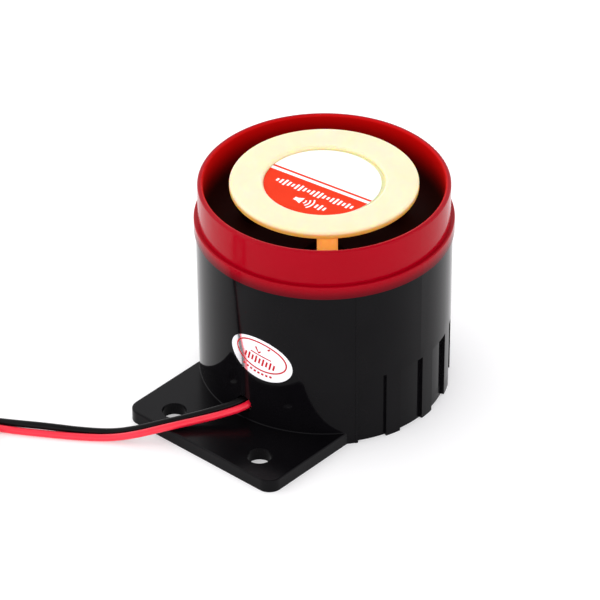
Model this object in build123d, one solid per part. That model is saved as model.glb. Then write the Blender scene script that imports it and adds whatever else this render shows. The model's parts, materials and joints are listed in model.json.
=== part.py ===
from build123d import *
from math import atan2, cos, pi, radians, sin, sqrt, tan
import os

# Small bracket-mounted alarm siren: a drum-shaped housing with a screw-down foot, a red horn bezel,
# a cream diffuser disc on posts, and a moving-coil horn driver with its oscillator board inside.
#
# Origin: centre of the drum on the face it stands on. +Z is up, the foot points along -Y.

# ---- working allowances ------------------------------------------------------------------------
blend = 0.5                     # one feature runs this far into the next in the same moulding
cut_margin = 1.0                # a cut runs this far past the surface it opens

# ---- housing and foot --------------------------------------------------------------------------
drum_radius = 28.1              # at the bezel
drum_draft = 0.25               # smaller by this on the standing face
body_height = 39.1
body_wall = 2.1
floor_thickness = 2.0
foot_projection = 14.35         # the foot's outer edge beyond the drum
foot_width = 42.6
foot_offset = 0.5               # the foot stands a little to one side of the drum axis
foot_thickness = 3.0
foot_corner_radius = 3.0
foot_edge_radius = 0.35
foot_root_radius = 0.2          # fillet between the foot and the drum
foot_hole_radius = 2.75
foot_hole_inset = 6.1           # hole centres from the foot's outer edge
foot_hole_spacing = 25.2
underside_rim = 4.35            # ring-shaped relief under the floor, inside this rim
underside_pad_radius = 9.0      # and round a flush centre pad
underside_recess_depth = 0.5

# ---- grip flutes round the back of the drum ----------------------------------------------------
flute_count = 12
flute_height = 16.5
flute_depth = 0.75
flute_first_angle = 56.7        # from the foot's direction to the first flute
flute_pad_angle = 7.5           # plain strip between two flutes
parting_line_angle = 1.0        # width of the raised mould line
parting_line_height = 0.1
parting_line_gap = 0.05         # the line stops below the bezel

# ---- horn bezel ---------------------------------------------------------------------------------
flange_overhang = 0.4           # beyond the drum
flange_depth = 3.0
flange_edge_radius = 0.3
rim_rise = 8.6                  # above the flange
rim_inset = 0.5                 # inside the drum's radius
rim_wall = 1.2
rim_edge_radius = 0.5
bowl_arc_radius = 7.5           # bend from the rim's wall into the cone
bowl_arc_drop = 6.2             # below the rim
cone_slope = 20.0
throat_radius = 5.0
horn_wall = 1.5
spigot_clearance = 0.1
spigot_depth = 3.0
spigot_wall = 1.5

# ---- diffuser disc and its label ---------------------------------------------------------------
mouth_gap = 5.75                # between the disc and the rim's inside
disc_stand = 0.3                # above the rim
disc_thickness = 1.7
disc_edge_radius = 0.6
disc_under_radius = 0.4
disc_recess_depth = 0.85
disc_lip_radius = 0.65          # soft edge of the recess
label_radius = 12.85
label_margin = 0.45             # between the label and the recess's side
label_thickness = 0.12
label_offset = (-0.3, -0.25)    # the label is not quite centred in its recess
post_count = 3
post_first_angle = 43.7         # from the foot's direction
post_inset = 2.85               # post centres inside the disc's edge
post_width = 4.5
post_depth = 3.4
post_seat_rise = 0.94           # above the highest point of the cone under the seat
post_seat_margin = 0.6
post_pilot_depth = 4.5
post_boss_depth = 1.0           # screw boss under the cone
post_blend = 0.2                # the posts run into the disc

# ---- oval inspection label ----------------------------------------------------------------------
oval_length = 15.6
oval_height = 10.4
oval_tilt = -14.0
oval_angle = 11.6               # from the foot's direction, round the drum
oval_centre_height = 20.6
oval_thickness = 0.1

# ---- driver -------------------------------------------------------------------------------------
seat_drop = 0.46                # the horn's seat ring below the lip of the throat
seat_width = 3.0
gasket_thickness = 0.5
film_thickness = 0.25
frame_thickness = 2.0
frame_margin = 0.5              # clamping frame outside the plate, and plate outside the seat
pole_radius = 6.0
gap_clearance = 0.3             # voice coil to pole, and voice coil to plate
coil_wall = 0.5
coil_overhang = 0.3             # coil below the plate
plate_thickness = 2.5
driver_gap = 10.0               # plate's edge to the drum's bore
magnet_height = 7.0
magnet_width = 5.5              # across the ring
magnet_inset = 1.5              # inside the plate's edge
yoke_thickness = 2.5
yoke_edge_radius = 0.6
dome_margin = 2.4               # film outside the voice coil
dome_shoulder = 0.3
dome_rise = 0.9
roll_rise = 0.9
roll_foot = 0.5                 # flat film on the outside of each bend of the roll
roll_bend = 0.4                 # and on the inside
film_drop = 0.5                 # moving film below the clamped rim
lug_reach = 2.5                 # screw centres outside the frame
lug_count = 3

# ---- screws --------------------------------------------------------------------------------------
screw_core_radius = 0.9         # shank, and the pilot hole it cuts its thread in
screw_clearance = 0.35          # round the shank in a plain hole
screw_head_radius = 2.0
screw_head_height = 1.3
screw_head_edge = 0.5
screw_slot_width = 0.5
screw_slot_length = 2.4
screw_slot_depth = 0.6
driver_screw_length = 5.6
post_screw_length = 8.0
board_screw_length = 4.2
pilot_spare = 0.4               # pilot hole beyond the screw's end
boss_radius = 2.7

# ---- circuit board -------------------------------------------------------------------------------
board_gap = 4.0                 # board's edge to the drum's bore
board_thickness = 1.6
board_stand = 2.6               # underside of the board above the floor
board_boss_inset = 4.0
board_boss_radius = 3.0
board_boss_angles = [60, 180, 300]
component_clearance = 0.85      # under the driver
capacitor_place = (-9.0, -8.0)
capacitor_radius = 3.15
capacitor_edge_radius = 0.4
inductor_place = (12.5, -7.5)   # inside the board's edge along X, and off the middle along Y
inductor_radius = 4.0
inductor_drop = 0.6             # below the tallest component
inductor_cheek = 1.2
inductor_groove = 0.6
transistor_place = (11.0, 6.0)
transistor_width = 7.8
transistor_depth = 2.8
transistor_stand = 1.8
transistor_drop = 0.2           # below the tallest component
transistor_leg_width = 0.7
transistor_leg_depth = 0.5
transistor_leg_pitch = 2.2
chip_place = (-3.5, 1.2)
chip_length = 9.4
chip_width = 6.3
chip_height = 3.2
chip_stand = 0.6
chip_notch_radius = 0.9
chip_notch_depth = 0.8
chip_pin_pitch = 2.54
chip_pin_width = 0.5
chip_pin_depth = 0.6
chip_pin_stand = 0.25           # pin's middle outside the body
resistor_count = 4
resistor_place = (-7.5, 11.0)
resistor_pitch = 4.0
resistor_radius = 1.15
resistor_length = 5.6
resistor_stand = 1.5
resistor_leg_reach = 1.0        # from the body to the bend
leg_radius = 0.3
leg_blend = 0.2                 # legs run into their bodies

# ---- leads ---------------------------------------------------------------------------------------
lead_diameter = 1.6
lead_gap = 0.1                  # between the two leads
arc_share = 0.45                # of the shorter run at a corner, taken up by the arc
lead_hole_clearance = 0.3
lead_exit_x = 1.2
lead_exit_height = 6.85
conductor_radius = 0.4
conductor_bare_length = 5.0
glue_margin = 0.85              # glue round the leads' hole
glue_length = 2.4
strip_length = 1.4              # bare wire at the board
solder_foot_radius = 0.75
solder_tip_radius = 0.5
solder_rise = 0.5               # above the wire's middle
coil_x = -44.6
coil_reach = 48.3               # coil's centre, out from the drum's face
coil_mid_radius = 9.05
coil_slack = 0.05
tie_width = 2.5
tie_thickness = 0.35
tie_slack = 0.02
tie_edge_radius = 0.3
wire_radius = 0.45              # board to driver
wire_inset = 1.5                # inside the board's edge
wire_bend_radius = 2.5
wire_angles = [75, 85]
terminal_width = 2.2
terminal_thickness = 0.6
terminal_stand = 0.2            # tags stand off the frame by this

# ---- sizes that follow from those above ---------------------------------------------------------
body_foot_radius = drum_radius - drum_draft
body_bore_radius = drum_radius - body_wall
foot_reach = body_foot_radius + foot_projection
foot_hole_reach = foot_reach - foot_hole_inset
underside_recess_radius = body_foot_radius - underside_rim
flange_radius = drum_radius + flange_overhang
flange_height = body_height + flange_depth
rim_radius = drum_radius - rim_inset
rim_inner_radius = rim_radius - rim_wall
rim_height = flange_height + rim_rise
bowl_arc_height = rim_height - bowl_arc_drop
bowl_arc_centre = rim_inner_radius - bowl_arc_radius
spigot_radius = body_bore_radius - spigot_clearance
disc_radius = rim_inner_radius - mouth_gap
disc_top = rim_height + disc_stand
disc_recess_radius = label_radius + label_margin
post_circle_radius = disc_radius - post_inset
screw_hole_radius = screw_core_radius + screw_clearance
board_height = floor_thickness + board_stand
board_top = board_height + board_thickness
board_radius = body_bore_radius - board_gap
board_boss_circle = board_radius - board_boss_inset
plate_radius = body_bore_radius - driver_gap
frame_outer_radius = plate_radius + frame_margin
seat_outer_radius = plate_radius - frame_margin
seat_inner_radius = seat_outer_radius - seat_width
magnet_outer_radius = plate_radius - magnet_inset
magnet_inner_radius = magnet_outer_radius - magnet_width
coil_radius = pole_radius + gap_clearance
coil_outer = coil_radius + coil_wall
dome_radius = coil_outer + dome_margin
lug_circle_radius = frame_outer_radius + lug_reach
wire_circle_radius = board_radius - wire_inset
lead_spacing = lead_diameter + lead_gap
lead_hole_radius = (lead_spacing + lead_diameter) / 2 + lead_hole_clearance
lead_coil_half_width = (lead_spacing + lead_diameter) / 2 + coil_slack
lead_coil_inner = coil_mid_radius - lead_coil_half_width
lead_coil_outer = coil_mid_radius + lead_coil_half_width
coil_centre = (coil_x, -drum_radius - coil_reach)
lead_coil_low = tie_thickness + tie_slack
lead_coil_high = lead_coil_low + lead_spacing + lead_diameter

# Stations of the lead pair from the board outwards: x and distance out from the drum's face of the
# pair's middle, height of the pair's underside over the floor, and the direction across the pair from
# the black lead to the red one, as degrees in plan and degrees of dip.
lead_stations = [
    (0.9, -9.5, 6.55, 0, 0),
    (1.0, -4.8, 6.28, 0, 8),
    (1.3, -0.2, 5.69, -8, 18),
    (-2.0, 4.5, 4.52, -30, 12),
    (-5.6, 9.3, 3.69, -33, 4),
    (-9.0, 14.4, 3.21, -35, 3),
    (-12.9, 18.8, 1.88, -47, 8),
    (-18.0, 22.0, 0.12, -56, 12),
    (-23.7, 26.2, -0.02, -58, 22),
    (-29.6, 30.2, 0.02, -58, 45),
    (-35.8, 33.9, 0.01, -59, 35),
    (-42.3, 37.0, 0.02, -62, 12),
    (-48.7, 40.2, 0.37, -63, 0),
]

# The same for the short tails that come off the top of the coil.
tail_stations = [
    (-51.2, 42.1, 2.0, 137, 0),
    (-53.6, 44.8, 1.6, 140, 0),
    (-55.9, 47.5, 0.7, 146, 0),
    (-57.7, 50.8, 0.04, 152, 0),
]


def turned(profile):
    """Solid of revolution about Z of a closed outline given as (radius, height) points."""
    outline = Polyline([(radius, 0, height) for radius, height in profile], close=True)
    return revolve(make_face(outline), axis=Axis.Z)


def ring(outer, inner, low, high):
    """Plain ring between two heights."""
    height = high - low
    place = Pos(0, 0, low + height / 2)
    return place * (Cylinder(outer, height) - Cylinder(inner, height))


def rod(radius, low, high, x=0.0, y=0.0):
    """Upright cylinder between two heights."""
    return Pos(x, y, (low + high) / 2) * Cylinder(radius, high - low)


def around(circle_radius, angle_from_foot):
    """Point on a circle about the axis, its angle measured from the foot's direction."""
    angle = radians(angle_from_foot - 90)
    return circle_radius * cos(angle), circle_radius * sin(angle)


def body_radius_at(height, extra=0.0):
    """Drum radius at a height, with its draft."""
    share = height / body_height
    return body_foot_radius + drum_draft * share + extra


def drum(extra=0.0, low=0.0, high=body_height):
    """Solid drafted drum, larger than the housing's outside by an amount."""
    low_radius = body_radius_at(low, extra)
    high_radius = body_radius_at(high, extra)
    return turned([(0, low), (low_radius, low), (high_radius, high), (0, high)])


def sector(inner_low, inner_high, outer, low, high, first_angle, span):
    """Part of a ring between two angles from the foot's direction."""
    outline = Polyline(
        [(inner_low, 0, low), (outer, 0, low), (outer, 0, high), (inner_high, 0, high)], close=True
    )
    turn = Rot(0, 0, first_angle - 90)
    return turn * revolve(make_face(outline), axis=Axis.Z, revolution_arc=span)


def circle_edges(shape, radius, height):
    """The round edges of a shape that have this radius and lie at this height."""
    found = []
    for edge in shape.edges().filter_by(GeomType.CIRCLE):
        at_height = abs(edge.center().Z - height) < 0.01 and abs(edge.arc_center.Z - height) < 0.01
        if at_height and abs(edge.radius - radius) < 0.02:
            found.append(edge)
    return found


def foot():
    """Flat foot, with its outer corners rounded and its two screw holes."""
    plate = Box(foot_width, foot_reach, foot_thickness)
    plate = Pos(foot_offset, -foot_reach / 2, foot_thickness / 2) * plate
    outer_corners = plate.edges().filter_by(Axis.Z).group_by(Axis.Y)[0]
    plate = fillet(outer_corners, foot_corner_radius)
    top_edges = [edge for edge in plate.faces().sort_by(Axis.Z)[-1].edges() if edge.center().Y < -0.5]
    plate = fillet(top_edges, foot_edge_radius)
    for side in (-1, 1):
        x = foot_offset + side * foot_hole_spacing / 2
        plate -= rod(foot_hole_radius, -cut_margin, foot_thickness + cut_margin, x, -foot_hole_reach)
    return plate


def flutes():
    """Shallow recesses round the back of the drum, open at the standing face."""
    field = 360 - 2 * flute_first_angle
    pitch = (field + flute_pad_angle) / flute_count
    low_radius = body_radius_at(0) - flute_depth
    high_radius = body_radius_at(flute_height) - flute_depth
    outer = drum_radius + cut_margin
    cuts = []
    for number in range(flute_count):
        start = flute_first_angle + number * pitch
        cuts.append(
            sector(low_radius, high_radius, outer, -cut_margin, flute_height, start, pitch - flute_pad_angle)
        )
    return cuts


def parting_lines():
    """Raised mould lines just in front of the first and the last flute."""
    lines = []
    inner = body_bore_radius + blend
    top = body_height - parting_line_gap
    first = flute_first_angle - 1.2 * parting_line_angle
    for start in (first, 360 - first - parting_line_angle):
        block = sector(inner, inner, drum_radius + cut_margin, 0, top, start, parting_line_angle)
        lines.append(block & drum(parting_line_height))
    return lines


def housing():
    """Drum with its floor, foot, flutes, board bosses and lead hole."""
    shell = drum() + foot()
    root_edges = [
        edge
        for edge in shell.edges().filter_by(GeomType.CIRCLE)
        if abs(edge.center().Z - foot_thickness) < 0.01 and edge.radius > underside_recess_radius
    ]
    shell = fillet(root_edges, foot_root_radius)
    for line in parting_lines():
        shell += line
    shell -= rod(body_bore_radius, floor_thickness, body_height + cut_margin)
    for cut in flutes():
        shell -= cut
    shell -= ring(underside_recess_radius, underside_pad_radius, -cut_margin, underside_recess_depth)
    for angle in board_boss_angles:
        x, y = around(board_boss_circle, angle)
        pilot_end = board_top - board_screw_length - pilot_spare
        shell += rod(board_boss_radius, floor_thickness - blend, board_height, x, y)
        shell -= rod(screw_core_radius, pilot_end, board_height + cut_margin, x, y)
    hole = Pos(lead_exit_x, -body_bore_radius, lead_exit_height) * Rot(90, 0, 0)
    shell -= hole * Cylinder(lead_hole_radius, 4 * body_wall)
    return shell


def cone_height(radius, drop=0.0):
    """Height of the horn cone's upper surface at a radius, or of a surface that far under it."""
    end_radius = bowl_arc_centre + bowl_arc_radius * sin(radians(cone_slope))
    end_height = bowl_arc_height - bowl_arc_radius * cos(radians(cone_slope))
    slope = tan(radians(cone_slope))
    return end_height - (end_radius - radius) * slope - drop / cos(radians(cone_slope))


post_angles = [post_first_angle + turn * 360 / post_count for turn in range(post_count)]
lug_angles = [post_first_angle + 180 / post_count + turn * 360 / lug_count for turn in range(lug_count)]

# heights of the posts' seats and of the driver's stack, from the horn's seat ring downwards
post_seat_height = cone_height(post_circle_radius + post_depth / 2 + post_seat_margin) + post_seat_rise
post_screw_seat = cone_height(post_circle_radius, horn_wall) - post_boss_depth
driver_seat_height = cone_height(throat_radius, horn_wall) - seat_drop
gasket_low = driver_seat_height - gasket_thickness
film_low = gasket_low - film_thickness
frame_low = film_low - frame_thickness
plate_low = frame_low - plate_thickness
magnet_low = plate_low - magnet_height
yoke_low = magnet_low - yoke_thickness
dome_low = film_low - film_drop
component_top = yoke_low - component_clearance


def horn_section():
    """Outline of the bezel and cone: outside down to the spigot, underneath, and up the inside."""
    inner = rim_inner_radius
    centre = bowl_arc_centre
    under_arc = bowl_arc_radius + horn_wall
    spigot = spigot_radius
    start_angle = atan2(-sqrt(under_arc ** 2 - (spigot - centre) ** 2), spigot - centre)
    end_angle = radians(cone_slope - 90)
    mid_angle = (start_angle + end_angle) / 2
    under_start = (spigot, 0, bowl_arc_height + under_arc * sin(start_angle))
    under_mid = (centre + under_arc * cos(mid_angle), 0, bowl_arc_height + under_arc * sin(mid_angle))
    under_end = (centre + under_arc * cos(end_angle), 0, bowl_arc_height + under_arc * sin(end_angle))
    lip_under = (throat_radius, 0, cone_height(throat_radius, horn_wall))
    lip_over = (throat_radius, 0, cone_height(throat_radius))
    bowl_end = (
        centre + bowl_arc_radius * cos(end_angle), 0, bowl_arc_height + bowl_arc_radius * sin(end_angle)
    )
    bowl_mid_angle = end_angle / 2
    bowl_mid = (
        centre + bowl_arc_radius * cos(bowl_mid_angle), 0,
        bowl_arc_height + bowl_arc_radius * sin(bowl_mid_angle),
    )
    bowl_start = (inner, 0, bowl_arc_height)
    outside = Polyline(
        [
            bowl_start, (inner, 0, rim_height), (rim_radius, 0, rim_height), (rim_radius, 0, flange_height),
            (flange_radius, 0, flange_height), (flange_radius, 0, body_height), (spigot, 0, body_height),
            under_start,
        ]
    )
    underneath = ThreePointArc(under_start, under_mid, under_end)
    cone_under = Line(under_end, lip_under)
    throat = Line(lip_under, lip_over)
    cone_over = Line(lip_over, bowl_end)
    bowl = ThreePointArc(bowl_end, bowl_mid, bowl_start)
    return make_face([outside, underneath, cone_under, throat, cone_over, bowl])


def post_outline(margin=0.0):
    """Rounded plan outline of a diffuser post, its long side across the radius."""
    width = post_width + 2 * margin
    depth = post_depth + 2 * margin
    return RectangleRounded(depth, width, depth / 2 - 0.05)


def at_post(angle, height):
    """Place at a post's foot, turned so that X is radial."""
    x, y = around(post_circle_radius, angle)
    return Pos(x, y, height) * Rot(0, 0, angle - 90)


def horn():
    """Bezel, bowl and cone in one moulding, with a seat ring, driver bosses and post seats."""
    body = revolve(horn_section(), axis=Axis.Z)
    body = fillet(circle_edges(body, rim_radius, rim_height), rim_edge_radius)
    body = fillet(circle_edges(body, rim_inner_radius, rim_height), rim_edge_radius)
    body = fillet(circle_edges(body, flange_radius, flange_height), flange_edge_radius)
    skirt = ring(spigot_radius, spigot_radius - spigot_wall, body_height - spigot_depth, body_height)
    seat_top = cone_height(seat_inner_radius, horn_wall / 2)
    seat = ring(seat_outer_radius, seat_inner_radius, driver_seat_height, seat_top)
    body += skirt
    body += seat
    for angle in lug_angles:
        x, y = around(lug_circle_radius, angle)
        top = cone_height(lug_circle_radius - boss_radius, horn_wall / 2)
        body += rod(boss_radius, film_low, top, x, y)
    for angle in post_angles:
        x, y = around(post_circle_radius, angle)
        inside = cone_height(post_circle_radius, horn_wall / 2)
        body += at_post(angle, inside) * extrude(post_outline(post_seat_margin), post_seat_height - inside)
        body += rod(boss_radius, post_screw_seat, inside, x, y)
    for angle in lug_angles:
        x, y = around(lug_circle_radius, angle)
        pilot_end = frame_low + driver_screw_length + pilot_spare
        body -= rod(screw_core_radius, film_low - cut_margin, pilot_end, x, y)
    for angle in post_angles:
        x, y = around(post_circle_radius, angle)
        body -= rod(screw_hole_radius, post_screw_seat - cut_margin, post_seat_height + cut_margin, x, y)
    return body


def diffuser():
    """Round-edged disc with a shallow label recess, on three posts."""
    under = disc_top - disc_thickness
    post_length = under + post_blend - post_seat_height
    pilot_end = post_seat_height + post_pilot_depth
    disc = rod(disc_radius, under, disc_top)
    disc = fillet(circle_edges(disc, disc_radius, disc_top), disc_edge_radius)
    disc = fillet(circle_edges(disc, disc_radius, under), disc_under_radius)
    disc -= rod(disc_recess_radius, disc_top - disc_recess_depth, disc_top + cut_margin)
    disc = fillet(circle_edges(disc, disc_recess_radius, disc_top), disc_lip_radius)
    for angle in post_angles:
        disc += at_post(angle, post_seat_height) * extrude(post_outline(), post_length)
    for angle in post_angles:
        x, y = around(post_circle_radius, angle)
        disc -= rod(screw_core_radius, post_seat_height - cut_margin, pilot_end, x, y)
    return disc


def disc_label():
    """Round printed label in the disc's recess."""
    low = disc_top - disc_recess_depth
    return rod(label_radius, low, low + label_thickness, *label_offset)


def oval_label():
    """Oval foil label wrapped on the drum above the foot."""
    low = oval_centre_height - oval_length
    high = oval_centre_height + oval_length
    skin = drum(oval_thickness, low, high) - drum(0, low - cut_margin, high + cut_margin)
    outline = Rot(0, 0, oval_tilt) * Ellipse(oval_length / 2, oval_height / 2)
    block = extrude(outline, drum_radius)
    upright = Rot(0, 0, oval_angle) * Pos(0, -drum_radius / 2, oval_centre_height) * Rot(90, 0, 0)
    return skin & (upright * block)


def screw(x, y, seat, direction, length):
    """Round-head self-tapping screw: its head rests on a seat, its shank runs the given way."""
    end = seat + direction * length
    head_end = seat - direction * screw_head_height
    shank = rod(screw_core_radius, min(seat, end), max(seat, end), x, y)
    head = rod(screw_head_radius, min(seat, head_end), max(seat, head_end), x, y)
    head = fillet(circle_edges(head, screw_head_radius, head_end), screw_head_edge)
    slot_middle = Pos(x, y, head_end + direction * screw_slot_depth / 2)
    slot = slot_middle * Box(screw_slot_length, screw_slot_width, screw_slot_depth)
    cross = slot_middle * Box(screw_slot_width, screw_slot_length, screw_slot_depth)
    return head + shank - slot - cross


def screws(circle_radius, angles, seat, direction, length):
    """A set of equal screws on one circle, as separate solids."""
    placed = []
    for angle in angles:
        x, y = around(circle_radius, angle)
        placed.append(screw(x, y, seat, direction, length))
    return Compound(placed)


def diffuser_screws():
    """Three screws up through the horn into the posts."""
    return screws(post_circle_radius, post_angles, post_screw_seat, 1, post_screw_length)


def driver_screws():
    """Three screws up through the driver's frame into the horn."""
    return screws(lug_circle_radius, lug_angles, frame_low, 1, driver_screw_length)


def board_screws():
    """Three screws down through the board into the housing."""
    return screws(board_boss_circle, board_boss_angles, board_top, -1, board_screw_length)


def driver_frame():
    """Ring that clamps the film, with three lugs for the screws into the horn."""
    body = ring(frame_outer_radius, seat_inner_radius, frame_low, film_low)
    for angle in lug_angles:
        x, y = around(lug_circle_radius, angle)
        half_x, half_y = around((lug_circle_radius + seat_outer_radius) / 2, angle)
        body += rod(boss_radius, frame_low, film_low, x, y)
        web_length = lug_circle_radius - seat_outer_radius + 2 * blend
        web = Rot(0, 0, angle - 90) * Box(web_length, 2 * boss_radius, frame_thickness)
        body += Pos(half_x, half_y, (frame_low + film_low) / 2) * web
    for angle in lug_angles:
        x, y = around(lug_circle_radius, angle)
        body -= rod(screw_hole_radius, frame_low - cut_margin, film_low + cut_margin, x, y)
    return body


def gasket():
    """Soft ring between the film's rim and the horn's seat."""
    return ring(seat_outer_radius, seat_inner_radius, gasket_low, driver_seat_height)


def surround():
    """Film rim and its half roll, between the clamp and the moving dome."""
    roll_mid = (dome_radius + seat_inner_radius) / 2
    crest = film_low + roll_rise
    dome_high = dome_low + film_thickness
    return turned(
        [
            (dome_radius, dome_low), (dome_radius + roll_foot, dome_low), (roll_mid, crest - film_thickness),
            (seat_inner_radius - roll_bend, film_low), (seat_outer_radius, film_low),
            (seat_outer_radius, gasket_low), (seat_inner_radius - roll_foot, gasket_low),
            (roll_mid, crest), (dome_radius + roll_bend, dome_high), (dome_radius, dome_high),
        ]
    )


def dome_arc(radius_out, low):
    """Half of a shallow round arch centred on the axis, from its edge to its crown."""
    ball = (radius_out ** 2 + dome_rise ** 2) / (2 * dome_rise)
    half_angle = atan2(radius_out, ball - dome_rise) / 2
    middle = (ball * sin(half_angle), 0, low + dome_rise - ball + ball * cos(half_angle))
    return ThreePointArc((radius_out, 0, low), middle, (0, 0, low + dome_rise))


def diaphragm():
    """Domed film that the voice coil drives."""
    shoulder = coil_outer + dome_shoulder
    over_low = dome_low + film_thickness
    under = dome_arc(shoulder, dome_low)
    over = dome_arc(shoulder, over_low)
    crown = Line(under @ 1, over @ 1)
    edge = Polyline(
        [
            (shoulder, 0, over_low), (dome_radius, 0, over_low),
            (dome_radius, 0, dome_low), (shoulder, 0, dome_low),
        ]
    )
    return revolve(make_face([under, crown, over, edge]), axis=Axis.Z)


def voice_coil():
    """Coil on its former, hanging from the dome into the magnet gap."""
    return ring(coil_outer, coil_radius, plate_low - coil_overhang, dome_low)


def top_plate():
    """Steel ring over the magnet."""
    return ring(plate_radius, coil_outer + gap_clearance, plate_low, frame_low)


def magnet():
    """Ferrite ring."""
    return ring(magnet_outer_radius, magnet_inner_radius, magnet_low, plate_low)


def yoke():
    """Steel back plate and pole in one piece."""
    plate = rod(plate_radius, yoke_low, magnet_low)
    plate = fillet(circle_edges(plate, plate_radius, yoke_low), yoke_edge_radius)
    return plate + rod(pole_radius, magnet_low, frame_low)


def circuit_board():
    """Round board on three bosses."""
    board = rod(board_radius, board_height, board_top)
    for angle in board_boss_angles:
        x, y = around(board_boss_circle, angle)
        board -= rod(screw_hole_radius, board_height - cut_margin, board_top + cut_margin, x, y)
    return board


def capacitor():
    """Upright electrolytic capacitor."""
    can = rod(capacitor_radius, board_top, component_top, *capacitor_place)
    return fillet(circle_edges(can, capacitor_radius, component_top), capacitor_edge_radius)


def boost_inductor():
    """Drum-core inductor on the board."""
    x = board_radius - inductor_place[0]
    y = inductor_place[1]
    top = component_top - inductor_drop
    core = rod(inductor_radius - inductor_groove, board_top, top, x, y)
    core += rod(inductor_radius, board_top, board_top + inductor_cheek, x, y)
    core += rod(inductor_radius, top - inductor_cheek, top, x, y)
    return core


def drive_transistor():
    """Flat power transistor with three legs."""
    x, y = transistor_place
    low = board_top + transistor_stand
    height = component_top - transistor_drop - low
    leg_height = transistor_stand + leg_blend
    body = Pos(x, y, low + height / 2) * Box(transistor_width, transistor_depth, height)
    for number in (-1, 0, 1):
        leg = Box(transistor_leg_width, transistor_leg_depth, leg_height)
        body += Pos(x + transistor_leg_pitch * number, y, board_top + leg_height / 2) * leg
    return body


def tone_chip():
    """Eight-pin chip on the board."""
    x, y = chip_place
    low = board_top + chip_stand
    top = low + chip_height
    body = Pos(x, y, (low + top) / 2) * Box(chip_length, chip_width, chip_height)
    body -= rod(chip_notch_radius, top - chip_notch_depth, top + cut_margin, x - chip_length / 2, y)
    first_pin = x - 1.5 * chip_pin_pitch
    pin_height = chip_stand + chip_height / 2 + leg_blend
    for side in (-1, 1):
        for number in range(4):
            pin = Box(chip_pin_width, chip_pin_depth, pin_height)
            pin_y = y + side * (chip_width / 2 + chip_pin_stand)
            body += Pos(first_pin + chip_pin_pitch * number, pin_y, board_top + pin_height / 2) * pin
    return body


def resistors():
    """Lying resistors with bent legs."""
    placed = []
    for number in range(resistor_count):
        x, y = resistor_place[0] + resistor_pitch * number, resistor_place[1]
        height = board_top + resistor_stand
        body = Pos(x, y, height) * Rot(90, 0, 0) * Cylinder(resistor_radius, resistor_length)
        for side in (-1, 1):
            middle = y + side * (resistor_length + resistor_leg_reach) / 2
            bend = middle + side * resistor_leg_reach / 2
            leg_length = resistor_leg_reach + 2 * leg_blend
            body += Pos(x, middle, height) * Rot(90, 0, 0) * Cylinder(leg_radius, leg_length)
            body += rod(leg_radius, board_top, height + leg_blend / 2, x, bend)
        placed.append(body)
    return Compound(placed)


def across(plan_angle, dip_angle):
    """Unit step from the black lead to the red one."""
    flat = cos(radians(dip_angle))
    return flat * cos(radians(plan_angle)), flat * sin(radians(plan_angle)), -sin(radians(dip_angle))


def pair_middle(station):
    """Middle of the lead pair at a station."""
    x, out, lift, plan_angle, dip_angle = station
    height = lift + lead_diameter / 2 + lead_spacing / 2 * sin(radians(dip_angle))
    return x, -drum_radius - out, height


def lead_route(stations, side):
    """Points of one lead: side -1 is the black lead, +1 the red one."""
    route = []
    for station in stations:
        x, y, z = pair_middle(station)
        step = across(*station[3:])
        shift = side * lead_spacing / 2
        route.append((x + shift * step[0], y + shift * step[1], z + shift * step[2]))
    return route


def corner_radii(route):
    """The largest arc at each corner that leaves a straight piece in each run."""
    radii = []
    for before, corner, after in zip(route, route[1:], route[2:]):
        first = Vector(*corner) - Vector(*before)
        second = Vector(*after) - Vector(*corner)
        turn = first.get_angle(second)
        radii.append(arc_share * min(first.length, second.length) / tan(radians(turn / 2)))
    return radii


def round_tube(name, route, radius):
    """Round tube along straight runs joined by the largest tangent arcs."""
    radii = corner_radii(route)
    path = FilletPolyline(*route, radius=radii)
    start = Plane(path @ 0, z_dir=path % 0)
    tube = sweep(start * Circle(radius), path=path)
    share = tube.volume / (pi * radius ** 2 * path.length)
    print(name, "length", round(path.length, 1), "volume over section times length", round(share, 4))
    print(name, "radii", [round(value, 1) for value in radii])
    return tube


def lead(name, side):
    """One lead: the stretch from the board to the coil, and its tail past the coil."""
    body = round_tube(name, lead_route(lead_stations, side), lead_diameter / 2)
    tail = round_tube(name + " tail", lead_route(tail_stations, side), lead_diameter / 2)
    return Compound([body, tail])


def lead_red():
    """The red lead, on the outer side of the pair."""
    return lead("lead_red", 1)


def lead_black():
    """The black lead."""
    return lead("lead_black", -1)


def lead_tips():
    """Tinned bare ends of the two leads."""
    tips = []
    for side in (-1, 1):
        before, end = [Vector(*point) for point in lead_route(tail_stations, side)[-2:]]
        along = Vector(end.X - before.X, end.Y - before.Y, 0).normalized()
        middle = end + along * (conductor_bare_length / 2)
        tips.append(Plane(middle, z_dir=along) * Cylinder(conductor_radius, conductor_bare_length))
    return Compound(tips)


def lead_coil():
    """Outer shape of the wound-up spare length of both leads."""
    x, y = coil_centre
    return Pos(x, y, 0) * ring(lead_coil_outer, lead_coil_inner, lead_coil_low, lead_coil_high)


def coil_tie():
    """Thin band closed round the coil's turns."""
    x, y = coil_centre
    inner = sqrt(lead_coil_inner ** 2 - (tie_width / 2) ** 2) - tie_slack
    outer = lead_coil_outer + tie_slack
    width = outer - inner
    height = lead_coil_high - lead_coil_low + 2 * tie_slack
    band = Box(width + 2 * tie_thickness, tie_width, height + 2 * tie_thickness)
    band = fillet(band.edges().filter_by(Axis.Y), tie_edge_radius)
    band -= Box(width, tie_width + cut_margin, height)
    return Pos(x + (inner + outer) / 2, y, (lead_coil_low + lead_coil_high) / 2) * band


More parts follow.
